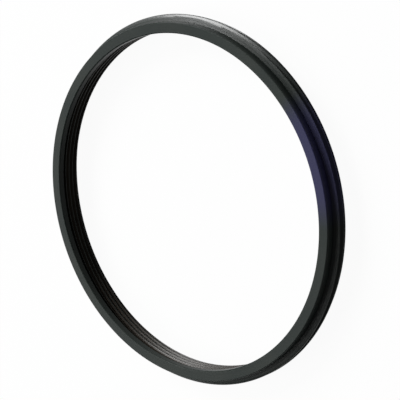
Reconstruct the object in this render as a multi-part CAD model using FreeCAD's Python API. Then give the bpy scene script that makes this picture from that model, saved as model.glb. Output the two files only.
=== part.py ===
import FreeCAD, Part
import math
import os

# Lens thread adapter: one thin turned ring, threaded inside and outside, in millimetres.
# It lies on its thread mouth with the plain face up. The origin is the centre of its lower face.

# Male thread M55 x 1, whose diameter drives every other radius of the ring
MALE_DIAMETER = 55.0
MALE_PITCH = 1.0
MALE_CREST_ALLOWANCE = 0.05
MALE_END_ANGLE = -25.0

# Lengths along the axis, from the plain face down
RING_HEIGHT = 4.4
PILOT_LENGTH = 1.2
SHOULDER_LENGTH = 0.25
LIP_LENGTH = 0.95
RELIEF_LENGTH = 0.65
NOSE_CHAMFER_LENGTH = 1.25

# Radial steps: the pilot band under the male root, the nose under the male crest,
# the wall between the roots of the two threads, and the lip inside the female crest
PILOT_CLEARANCE = 0.46
NOSE_CHAMFER_DEPTH = 1.05
THREAD_WALL = 0.95
LIP_OVERHANG = 0.60

# Female thread M52 x 0.75, open below, with a relief groove between it and the stop lip
FEMALE_PITCH = 0.75
RELIEF_CLEARANCE = 0.08
MOUTH_CLEARANCE = 0.05
FEMALE_END_ANGLE = 80.0

# Broken edges of the plain face
FACE_EDGE_BREAK = 0.12
LIP_EDGE_BREAK = 0.15

# Metric thread form: flanks 30 degrees from square, a depth of five eighths of the sharp triangle,
# and flats of an eighth of the pitch at the major diameter and a quarter at the minor
FLANK_SLOPE = math.tan(math.radians(30.0))
THREAD_DEPTH = 5.0 / 8.0
MAJOR_FLAT = 1.0 / 8.0
MINOR_FLAT = 1.0 / 4.0
CUTTER_OVERSHOOT = 0.05

male_depth = THREAD_DEPTH * MALE_PITCH / (2.0 * FLANK_SLOPE)
male_root_radius = MALE_DIAMETER / 2.0 - male_depth
male_crest_radius = MALE_DIAMETER / 2.0 - MALE_CREST_ALLOWANCE
face_radius = male_root_radius - PILOT_CLEARANCE
nose_radius = male_crest_radius - NOSE_CHAMFER_DEPTH

female_depth = THREAD_DEPTH * FEMALE_PITCH / (2.0 * FLANK_SLOPE)
female_root_radius = male_root_radius - THREAD_WALL
female_crest_radius = female_root_radius - female_depth
relief_radius = female_root_radius + RELIEF_CLEARANCE
mouth_radius = female_root_radius + MOUTH_CLEARANCE
mouth_depth = mouth_radius - female_crest_radius
lip_radius = female_crest_radius - LIP_OVERHANG

shoulder_z = RING_HEIGHT - PILOT_LENGTH
male_top_z = shoulder_z - SHOULDER_LENGTH
lip_z = RING_HEIGHT - LIP_LENGTH
female_top_z = lip_z - RELIEF_LENGTH

centre = FreeCAD.Vector(0, 0, 0)
up = FreeCAD.Vector(0, 0, 1)


def ring_blank():
    """The turned ring before its threads are cut."""
    section = [
        (nose_radius, 0.0),
        (male_crest_radius, NOSE_CHAMFER_LENGTH),
        (male_crest_radius, male_top_z),
        (face_radius, shoulder_z),
        (face_radius, RING_HEIGHT - FACE_EDGE_BREAK),
        (face_radius - FACE_EDGE_BREAK, RING_HEIGHT),
        (lip_radius + LIP_EDGE_BREAK, RING_HEIGHT),
        (lip_radius, RING_HEIGHT - LIP_EDGE_BREAK),
        (lip_radius, lip_z),
        (relief_radius, lip_z),
        (relief_radius, female_top_z),
        (female_crest_radius, female_top_z),
        (female_crest_radius, mouth_depth),
        (mouth_radius, 0.0),
    ]
    corners = [FreeCAD.Vector(radius, 0.0, height) for radius, height in section]
    face = Part.Face(Part.makePolygon(corners + corners[:1]))
    return face.revolve(centre, up, 360.0)


def thread_groove(pitch, root_radius, open_radius, root_flat, end_z, end_angle):
    """One right-handed V groove, wound down from end_z until it is clear of the ring below."""
    half_root = root_flat / 2.0
    half_open = half_root + abs(open_radius - root_radius) * FLANK_SLOPE
    corners = [
        FreeCAD.Vector(root_radius, 0.0, -half_root),
        FreeCAD.Vector(root_radius, 0.0, half_root),
        FreeCAD.Vector(open_radius, 0.0, half_open),
        FreeCAD.Vector(open_radius, 0.0, -half_open),
    ]
    profile = Part.makePolygon(corners + corners[:1])
    helix = Part.Wire(Part.makeHelix(pitch, pitch, root_radius).Edges)
    one_turn = helix.makePipeShell([profile], True, True)
    one_turn.rotate(centre, up, end_angle)

    # The sides of one exact turn are repeated, and only the first and the last turn are capped.
    caps = [face for face in one_turn.Faces if isinstance(face.Surface, Part.Plane)]
    caps.sort(key=lambda cap: cap.CenterOfMass.z)
    sides = [face for face in one_turn.Faces if not isinstance(face.Surface, Part.Plane)]
    turn_count = math.ceil((end_z + half_open) / pitch)
    lowest_z = end_z - pitch * turn_count
    faces = [caps[0].translated(up * lowest_z)]
    for index in range(turn_count):
        faces += [side.translated(up * (lowest_z + pitch * index)) for side in sides]
    faces.append(caps[1].translated(up * (end_z - pitch)))
    shell = Part.Shell(faces)
    shell.sewShape()
    return Part.Solid(Part.Shell(shell.Faces))


def male_groove():
    """The outside groove runs out over the pilot band, which is thinner than the thread's root."""
    open_radius = male_crest_radius + CUTTER_OVERSHOOT * MALE_PITCH
    end_z = shoulder_z + MALE_PITCH / 2.0
    return thread_groove(MALE_PITCH, male_root_radius, open_radius, MINOR_FLAT * MALE_PITCH,
                         end_z, MALE_END_ANGLE)


def female_groove():
    """The inside groove ends in the middle of the relief, where the tool is drawn back."""
    open_radius = female_crest_radius - CUTTER_OVERSHOOT * FEMALE_PITCH
    end_z = (lip_z + female_top_z) / 2.0
    return thread_groove(FEMALE_PITCH, female_root_radius, open_radius,
                         MAJOR_FLAT * FEMALE_PITCH, end_z, FEMALE_END_ANGLE)


adapter_ring = ring_blank().cut(male_groove()).cut(female_groove()).Solids[0]

os.makedirs("parts", exist_ok=True)
adapter_ring.exportStep("parts/adapter_ring.step")
print("adapter_ring valid:", adapter_ring.isValid(), "volume in mm3:", round(adapter_ring.Volume, 1))
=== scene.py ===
import math

import bmesh
import bpy
from mathutils import Matrix, Vector


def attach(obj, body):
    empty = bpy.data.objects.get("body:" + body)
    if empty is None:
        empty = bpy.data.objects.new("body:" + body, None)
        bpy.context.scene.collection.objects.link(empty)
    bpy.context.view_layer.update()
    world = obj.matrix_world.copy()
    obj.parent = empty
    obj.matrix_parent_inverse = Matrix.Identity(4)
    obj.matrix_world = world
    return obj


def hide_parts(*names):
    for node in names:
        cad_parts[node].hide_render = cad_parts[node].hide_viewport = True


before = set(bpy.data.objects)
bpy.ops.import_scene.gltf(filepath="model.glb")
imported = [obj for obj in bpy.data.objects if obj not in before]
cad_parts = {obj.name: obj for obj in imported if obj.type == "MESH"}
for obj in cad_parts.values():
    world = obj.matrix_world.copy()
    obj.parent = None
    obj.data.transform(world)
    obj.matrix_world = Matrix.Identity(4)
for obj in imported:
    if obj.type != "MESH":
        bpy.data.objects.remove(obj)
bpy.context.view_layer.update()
scene = bpy.context.scene
scene.view_settings.view_transform = "Standard"

# The camera: a long lens 23 cm from the ring, above its -Y side.
# It looks down at 47 degrees and is turned on its side, so the ring seems to stand on edge.
CAMERA_PLACE = (0.00240, -0.15807, 0.16971)
CAMERA_PITCH = math.radians(42.965)
CAMERA_ROLL = math.radians(106.014)
CAMERA_LENS = 141.96
SENSOR_WIDTH = 36.0
CAMERA_SHIFT = (0.01197, -0.04226)

camera_data = bpy.data.cameras.new("photo_camera")
camera_data.lens = CAMERA_LENS
camera_data.sensor_width = SENSOR_WIDTH
camera_data.shift_x = CAMERA_SHIFT[0]
camera_data.shift_y = CAMERA_SHIFT[1]
camera_data.clip_start = 0.01
camera_data.clip_end = 10.0
camera = bpy.data.objects.new("photo_camera", camera_data)
scene.collection.objects.link(camera)
camera.matrix_world = (
    Matrix.Translation(CAMERA_PLACE)
    @ Matrix.Rotation(CAMERA_PITCH, 4, "X")
    @ Matrix.Rotation(-CAMERA_ROLL, 4, "Z")
)
scene.camera = camera


# The adapter ring: one thin ring turned from aluminium bar and dyed black. Its face and pilot band are
# turned smooth, M55 x 1 is cut outside and a finer thread inside, up to a relief groove under the stop lip.
MM = 0.001
RING_HEIGHT = 4.4
FACE_RADIUS = 26.4987
FACE_EDGE_BREAK = 0.12
SHOULDER_HEIGHT = 3.2
MALE_TOP_HEIGHT = 2.95
MALE_CREST_RADIUS = 27.45
MALE_ROOT_RADIUS = 26.9587
MALE_PITCH = 1.0
MALE_ROOT_FLAT = 0.25
MALE_END_ANGLE = math.radians(-25.0)
NOSE_RADIUS = 26.2
NOSE_CHAMFER_LENGTH = 1.6

LIP_RADIUS = 24.93
LIP_EDGE_BREAK = 0.15
LIP_HEIGHT = 3.45
RELIEF_RADIUS = 25.6859
FEMALE_TOP_HEIGHT = 2.8
FEMALE_ROOT_RADIUS = 25.6059
FEMALE_CREST_RADIUS = 25.2
FEMALE_PITCH = 0.75
FEMALE_ROOT_FLAT = 0.09375
FEMALE_END_ANGLE = math.radians(80.0)
MOUTH_RADIUS = 25.35

FLANK_SLOPE = math.tan(math.radians(30.0))
TURN_STEPS = 288
THREAD_TURNS = 7
MALE_SOFTENING = 0.03
FEMALE_SOFTENING = 0.02
WELD = 0.000001


def wind_thread(name, root_radius, crest_radius, pitch, root_flat, groove_height, groove_angle, turns, soft):
    """One pitch of a thread's outline, drawn up from the middle of a groove and wound about the axis."""
    half_root = root_flat / 2.0
    half_open = half_root + abs(crest_radius - root_radius) * FLANK_SLOPE
    inward = 1.0 if crest_radius > root_radius else -1.0
    half = [(0.0, root_radius), (half_root - soft, root_radius)]
    for step in range(1, 8):
        part = step / 8.0
        rise = half_root + part * (half_open - half_root)
        half.append((rise, root_radius + part * (crest_radius - root_radius)))
    half.append((half_open - 0.25 * soft, crest_radius - inward * 0.9 * soft))
    half.append((half_open + 0.75 * soft, crest_radius))
    half.append((pitch / 2.0, crest_radius))
    upper = [(pitch - rise, radius) for rise, radius in reversed(half[:-1])]
    outline = half + upper
    start = groove_height - pitch * math.floor((groove_height + pitch) / pitch) - pitch

    bpy.ops.object.select_all(action="DESELECT")
    bpy.ops.mesh.primitive_plane_add(size=MM)
    wall = bpy.context.object
    wall.name = name
    bpy.ops.object.mode_set(mode="EDIT")
    bpy.ops.mesh.select_mode(type="VERT")
    bpy.ops.mesh.select_all(action="SELECT")
    bpy.ops.mesh.merge(type="CENTER")
    bpy.ops.transform.translate(value=(outline[0][1] * MM, 0.0, (start + outline[0][0]) * MM))
    for (rise, radius), (next_rise, next_radius) in zip(outline, outline[1:]):
        move = ((next_radius - radius) * MM, 0.0, (next_rise - rise) * MM)
        bpy.ops.mesh.extrude_vertices_move(TRANSFORM_OT_translate={"value": move})
    bpy.ops.mesh.select_all(action="SELECT")
    bpy.ops.transform.rotate(value=-groove_angle, orient_axis="Z", center_override=(0.0, 0.0, 0.0))
    bpy.ops.object.mode_set(mode="OBJECT")
    screw = wall.modifiers.new("wind", "SCREW")
    screw.axis = "Z"
    screw.angle = 2.0 * math.pi
    screw.screw_offset = pitch * MM
    screw.iterations = turns
    screw.steps = TURN_STEPS
    screw.render_steps = TURN_STEPS
    screw.use_merge_vertices = True
    screw.merge_threshold = WELD
    bpy.ops.object.modifier_apply(modifier="wind")
    bpy.ops.object.mode_set(mode="EDIT")
    bpy.ops.mesh.select_all(action="SELECT")
    bpy.ops.mesh.remove_doubles(threshold=WELD)
    bpy.ops.object.mode_set(mode="OBJECT")
    return wall


def cut_level(height, clear_below=False, clear_above=False):
    """A level cut through the piece in hand."""
    bpy.ops.object.mode_set(mode="EDIT")
    bpy.ops.mesh.select_all(action="SELECT")
    bpy.ops.mesh.bisect(plane_co=(0.0, 0.0, height * MM), plane_no=(0.0, 0.0, 1.0), threshold=0.0000005,
                        clear_inner=clear_below, clear_outer=clear_above)
    bpy.ops.object.mode_set(mode="OBJECT")


def hold_outline(piece, outline, outside):
    """Turns the piece down, or bores it out, to an outline of (height, radius) corners."""
    for vertex in piece.data.vertices:
        height = vertex.co.z / MM
        radius = math.hypot(vertex.co.x, vertex.co.y) / MM
        for (low, low_radius), (high, high_radius) in zip(outline, outline[1:]):
            if low - 0.001 <= height <= high + 0.001:
                part = min(1.0, max(0.0, (height - low) / (high - low)))
                limit = low_radius + part * (high_radius - low_radius)
                if (radius > limit) == outside:
                    vertex.co.x *= limit / radius
                    vertex.co.y *= limit / radius
                break


def select_rim(piece, height):
    """Selects the open rim at a height, in edit mode."""
    bpy.ops.object.mode_set(mode="EDIT")
    bpy.ops.mesh.select_mode(type="EDGE")
    bpy.ops.mesh.select_all(action="DESELECT")
    mesh = bmesh.from_edit_mesh(piece.data)
    for edge in mesh.edges:
        edge.select = edge.is_boundary and all(abs(v.co.z - height * MM) < 0.00001 for v in edge.verts)
    mesh.select_flush_mode()
    bmesh.update_edit_mesh(piece.data)


def grow_rim(piece, radius, height):
    """Draws the selected rim on to a circle of the next corner of the section."""
    bpy.ops.mesh.extrude_edges_move(TRANSFORM_OT_translate={"value": (0.0, 0.0, 0.0)})
    mesh = bmesh.from_edit_mesh(piece.data)
    for vertex in mesh.verts:
        if vertex.select:
            scale = radius * MM / math.hypot(vertex.co.x, vertex.co.y)
            vertex.co = (vertex.co.x * scale, vertex.co.y * scale, height * MM)
    bmesh.update_edit_mesh(piece.data)


# The outside: the wound thread, turned down to the nose, the crests, the shoulder and the pilot band
male_groove_height = SHOULDER_HEIGHT + MALE_PITCH / 2.0
outside_wall = wind_thread("ring_outside", MALE_ROOT_RADIUS, MALE_CREST_RADIUS, MALE_PITCH, MALE_ROOT_FLAT,
                           male_groove_height, MALE_END_ANGLE, THREAD_TURNS, MALE_SOFTENING)
face_edge_height = RING_HEIGHT - FACE_EDGE_BREAK
cut_level(0.0, clear_below=True)
cut_level(face_edge_height, clear_above=True)
for level in (NOSE_CHAMFER_LENGTH, MALE_TOP_HEIGHT, SHOULDER_HEIGHT):
    cut_level(level)
hold_outline(outside_wall, [(0.0, NOSE_RADIUS), (NOSE_CHAMFER_LENGTH, MALE_CREST_RADIUS),
                            (MALE_TOP_HEIGHT, MALE_CREST_RADIUS), (SHOULDER_HEIGHT, FACE_RADIUS),
                            (RING_HEIGHT, FACE_RADIUS)], outside=True)
select_rim(outside_wall, face_edge_height)
grow_rim(outside_wall, FACE_RADIUS - 0.25 * FACE_EDGE_BREAK, RING_HEIGHT - 0.45 * FACE_EDGE_BREAK)
grow_rim(outside_wall, FACE_RADIUS - FACE_EDGE_BREAK, RING_HEIGHT)
bpy.ops.object.mode_set(mode="OBJECT")

# The inside: the finer thread, bored out to the mouth, then the relief groove and the stop lip
female_groove_height = (LIP_HEIGHT + FEMALE_TOP_HEIGHT) / 2.0
inside_wall = wind_thread("ring_inside", FEMALE_ROOT_RADIUS, FEMALE_CREST_RADIUS, FEMALE_PITCH,
                          FEMALE_ROOT_FLAT, female_groove_height, FEMALE_END_ANGLE, THREAD_TURNS,
                          FEMALE_SOFTENING)
mouth_depth = MOUTH_RADIUS - FEMALE_CREST_RADIUS
cut_level(0.0, clear_below=True)
cut_level(FEMALE_TOP_HEIGHT, clear_above=True)
cut_level(mouth_depth)
hold_outline(inside_wall, [(0.0, MOUTH_RADIUS), (mouth_depth, FEMALE_CREST_RADIUS),
                           (FEMALE_TOP_HEIGHT, FEMALE_CREST_RADIUS)], outside=False)
select_rim(inside_wall, FEMALE_TOP_HEIGHT)
for radius, height in (
    (RELIEF_RADIUS, FEMALE_TOP_HEIGHT),
    (RELIEF_RADIUS, LIP_HEIGHT),
    (LIP_RADIUS + 0.03, LIP_HEIGHT),
    (LIP_RADIUS, LIP_HEIGHT + 0.03),
    (LIP_RADIUS, RING_HEIGHT - LIP_EDGE_BREAK),
    (LIP_RADIUS + 0.25 * LIP_EDGE_BREAK, RING_HEIGHT - 0.45 * LIP_EDGE_BREAK),
    (LIP_RADIUS + LIP_EDGE_BREAK, RING_HEIGHT),
):
    grow_rim(inside_wall, radius, height)
bpy.ops.object.mode_set(mode="OBJECT")

# The two walls become one ring, closed by its plain face and its lower edge
bpy.ops.object.select_all(action="DESELECT")
inside_wall.select_set(True)
outside_wall.select_set(True)
bpy.context.view_layer.objects.active = outside_wall
bpy.ops.object.join()
ring = bpy.context.object
ring.name = "adapter_ring_turned"
for rim_height in (RING_HEIGHT, 0.0):
    select_rim(ring, rim_height)
    bpy.ops.mesh.fill(use_beauty=True)
bpy.ops.mesh.select_all(action="SELECT")
bpy.ops.mesh.remove_doubles(threshold=WELD)
bpy.ops.mesh.dissolve_degenerate(threshold=WELD / 4.0)
bpy.ops.mesh.normals_make_consistent(inside=False)
bpy.ops.object.mode_set(mode="OBJECT")
bpy.ops.object.shade_smooth_by_angle(angle=math.radians(24.0))

ring_material = bpy.data.materials.new("black_anodised")
ring_material.use_nodes = True
nodes = ring_material.node_tree.nodes
links = ring_material.node_tree.links
shader = nodes["Principled BSDF"]
shader.inputs["IOR"].default_value = 1.45

# Height and distance from the axis, in millimetres, for the marks that run round the ring
place = nodes.new("ShaderNodeTexCoord")
parts = nodes.new("ShaderNodeSeparateXYZ")
links.new(place.outputs["Object"], parts.inputs[0])
level = nodes.new("ShaderNodeCombineXYZ")
links.new(parts.outputs["X"], level.inputs["X"])
links.new(parts.outputs["Y"], level.inputs["Y"])
reach = nodes.new("ShaderNodeVectorMath")
reach.operation = "LENGTH"
links.new(level.outputs[0], reach.inputs[0])
radius_mm = nodes.new("ShaderNodeMath")
radius_mm.operation = "MULTIPLY"
radius_mm.inputs[1].default_value = 1000.0
links.new(reach.outputs["Value"], radius_mm.inputs[0])
height_mm = nodes.new("ShaderNodeMath")
height_mm.operation = "MULTIPLY"
height_mm.inputs[1].default_value = 1000.0
links.new(parts.outputs["Z"], height_mm.inputs[0])

# The thread flanks are glossier than the smooth face and band, the outer ones most of all
outer_flank = nodes.new("ShaderNodeMath")
outer_flank.operation = "COMPARE"
outer_flank.inputs[1].default_value = (FACE_RADIUS + MALE_CREST_RADIUS) / 2.0
outer_flank.inputs[2].default_value = (MALE_CREST_RADIUS - FACE_RADIUS) / 2.0 - 0.02
links.new(radius_mm.outputs[0], outer_flank.inputs[0])
inner_flank = nodes.new("ShaderNodeMath")
inner_flank.operation = "COMPARE"
inner_flank.inputs[1].default_value = (FEMALE_ROOT_RADIUS + FEMALE_CREST_RADIUS) / 2.0
inner_flank.inputs[2].default_value = (FEMALE_ROOT_RADIUS - FEMALE_CREST_RADIUS) / 2.0
links.new(radius_mm.outputs[0], inner_flank.inputs[0])
either_flank = nodes.new("ShaderNodeMath")
either_flank.operation = "MULTIPLY_ADD"
either_flank.inputs[1].default_value = 0.35
links.new(inner_flank.outputs[0], either_flank.inputs[0])
links.new(outer_flank.outputs[0], either_flank.inputs[2])
below_band = nodes.new("ShaderNodeMath")
below_band.operation = "LESS_THAN"
below_band.inputs[1].default_value = SHOULDER_HEIGHT
links.new(height_mm.outputs[0], below_band.inputs[0])
thread = nodes.new("ShaderNodeMath")
thread.operation = "MULTIPLY"
links.new(either_flank.outputs[0], thread.inputs[0])
links.new(below_band.outputs[0], thread.inputs[1])
gloss = nodes.new("ShaderNodeMapRange")
gloss.inputs["To Min"].default_value = 0.06
gloss.inputs["To Max"].default_value = 0.75
links.new(thread.outputs[0], gloss.inputs["Value"])
links.new(gloss.outputs[0], shader.inputs["Specular IOR Level"])

# Turning marks: fine uneven lines round the axis, in the height of the surface and in its sheen
across = nodes.new("ShaderNodeCombineXYZ")
links.new(radius_mm.outputs[0], across.inputs["X"])
links.new(height_mm.outputs[0], across.inputs["Y"])
turning = nodes.new("ShaderNodeTexNoise")
turning.inputs["Scale"].default_value = 14.0
turning.inputs["Detail"].default_value = 3.0
links.new(across.outputs[0], turning.inputs["Vector"])
bump = nodes.new("ShaderNodeBump")
bump.inputs["Strength"].default_value = 0.35
bump.inputs["Distance"].default_value = 0.00001
links.new(turning.outputs[0], bump.inputs["Height"])
links.new(bump.outputs[0], shader.inputs["Normal"])
sheen = nodes.new("ShaderNodeMapRange")
sheen.inputs["From Min"].default_value = 0.3
sheen.inputs["From Max"].default_value = 0.7
sheen.inputs["To Min"].default_value = 0.24
sheen.inputs["To Max"].default_value = 0.38
links.new(turning.outputs[0], sheen.inputs["Value"])
links.new(sheen.outputs[0], shader.inputs["Roughness"])

# The dye: near black with a cloudy teal cast, browner in the fine thread; on top of it a painted blue
# reflection on the side that faces -Y
cloud = nodes.new("ShaderNodeTexNoise")
cloud.inputs["Scale"].default_value = 160.0
cloud.inputs["Detail"].default_value = 4.0
links.new(place.outputs["Object"], cloud.inputs["Vector"])
dye = nodes.new("ShaderNodeValToRGB")
dye.color_ramp.elements[0].position = 0.30
dye.color_ramp.elements[0].color = (0.022, 0.029, 0.027, 1.0)
dye.color_ramp.elements[1].position = 0.70
dye.color_ramp.elements[1].color = (0.030, 0.036, 0.032, 1.0)
links.new(cloud.outputs[0], dye.inputs[0])
# Painted reflection: the side of the ring facing -Y is tinted blue, standing in for a bluish light mirrored
# there
facing = nodes.new("ShaderNodeVectorMath")
facing.operation = "NORMALIZE"
links.new(level.outputs[0], facing.inputs[0])
side = nodes.new("ShaderNodeVectorMath")
side.operation = "DOT_PRODUCT"
side.inputs[1].default_value = (math.cos(math.radians(-88.0)), math.sin(math.radians(-88.0)), 0.0)
links.new(facing.outputs[0], side.inputs[0])
blue_reflection_mask = nodes.new("ShaderNodeMapRange")
blue_reflection_mask.interpolation_type = "SMOOTHSTEP"
blue_reflection_mask.inputs["From Min"].default_value = math.cos(math.radians(22.0))
blue_reflection_mask.inputs["From Max"].default_value = math.cos(math.radians(8.0))
links.new(side.outputs["Value"], blue_reflection_mask.inputs["Value"])
# Mixes the painted blue reflection into the dye colour on the -Y side
blue_reflection_tinted = nodes.new("ShaderNodeMix")
blue_reflection_tinted.data_type = "RGBA"
blue_reflection_tinted.inputs[7].default_value = (0.034, 0.034, 0.085, 1.0)
links.new(blue_reflection_mask.outputs[0], blue_reflection_tinted.inputs[0])
links.new(dye.outputs[0], blue_reflection_tinted.inputs[6])
brown_part = nodes.new("ShaderNodeMath")
brown_part.operation = "MULTIPLY"
links.new(inner_flank.outputs[0], brown_part.inputs[0])
links.new(below_band.outputs[0], brown_part.inputs[1])
browned = nodes.new("ShaderNodeMix")
browned.data_type = "RGBA"
browned.inputs[7].default_value = (0.044, 0.036, 0.028, 1.0)
links.new(brown_part.outputs[0], browned.inputs[0])
links.new(blue_reflection_tinted.outputs[2], browned.inputs[6])
links.new(browned.outputs[2], shader.inputs["Base Color"])
ring.data.materials.clear()
ring.data.materials.append(ring_material)
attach(ring, "root")
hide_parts("adapter_ring")


# The table top: plain white, lit by the same soft lamps; seen directly or in a reflection it is
# filled up to white, as the photo's background is, and keeps a faint shadow of the ring.
FLOOR_HALF = 3.0
FLOOR_WHITE = 0.85
FLOOR_FILL = 0.95

bpy.ops.object.select_all(action="DESELECT")
bpy.ops.mesh.primitive_plane_add(size=2.0 * FLOOR_HALF, location=(0.0, 0.0, 0.0))
floor = bpy.context.object
floor.name = "table_top"
floor_material = bpy.data.materials.new("white_table")
floor_material.use_nodes = True
nodes = floor_material.node_tree.nodes
links = floor_material.node_tree.links
nodes.clear()
output = nodes.new("ShaderNodeOutputMaterial")
dim = nodes.new("ShaderNodeBsdfDiffuse")
dim.inputs["Color"].default_value = (0.30, 0.30, 0.30, 1.0)
white = nodes.new("ShaderNodeBsdfDiffuse")
white.inputs["Color"].default_value = (FLOOR_WHITE, FLOOR_WHITE, FLOOR_WHITE, 1.0)
glow = nodes.new("ShaderNodeEmission")
glow.inputs["Strength"].default_value = 1.0
filled = nodes.new("ShaderNodeMixShader")
filled.inputs[0].default_value = FLOOR_FILL
links.new(white.outputs[0], filled.inputs[1])
links.new(glow.outputs[0], filled.inputs[2])
path = nodes.new("ShaderNodeLightPath")
seen = nodes.new("ShaderNodeMath")
seen.operation = "MAXIMUM"
links.new(path.outputs["Is Camera Ray"], seen.inputs[0])
links.new(path.outputs["Is Glossy Ray"], seen.inputs[1])
seen_through = nodes.new("ShaderNodeMath")
seen_through.operation = "MAXIMUM"
links.new(seen.outputs[0], seen_through.inputs[0])
links.new(path.outputs["Is Transmission Ray"], seen_through.inputs[1])
shown = nodes.new("ShaderNodeMixShader")
links.new(seen_through.outputs[0], shown.inputs[0])
links.new(dim.outputs[0], shown.inputs[1])
links.new(filled.outputs[0], shown.inputs[2])
links.new(shown.outputs[0], output.inputs["Surface"])
floor.data.materials.append(floor_material)

# The room: nearly dark, so that the lamps and the table do the lighting
ROOM_STRENGTH = 0.06
world = bpy.data.worlds.new("room")
scene.world = world
world.use_nodes = True
room = world.node_tree.nodes["Background"]
room.inputs["Color"].default_value = (1.0, 1.0, 1.0, 1.0)
room.inputs["Strength"].default_value = ROOM_STRENGTH

# The lamps: a soft one behind the ring that the flat face mirrors, and one beyond the side
# that the photo has above, which lights the upper flanks of the threads
for name, place, size, power in (
    ("back_lamp", (0.00, 0.60, 0.62), 0.55, 4.3),
    ("side_lamp", (0.62, 0.26, 0.50), 0.40, 7.0),
):
    lamp_data = bpy.data.lights.new(name, "AREA")
    lamp_data.shape = "SQUARE"
    lamp_data.size = size
    lamp_data.energy = power
    lamp = bpy.data.objects.new(name, lamp_data)
    scene.collection.objects.link(lamp)
    lamp.rotation_mode = "QUATERNION"
    lamp.rotation_quaternion = (-Vector(place)).to_track_quat("-Z", "Y")
    lamp.location = place
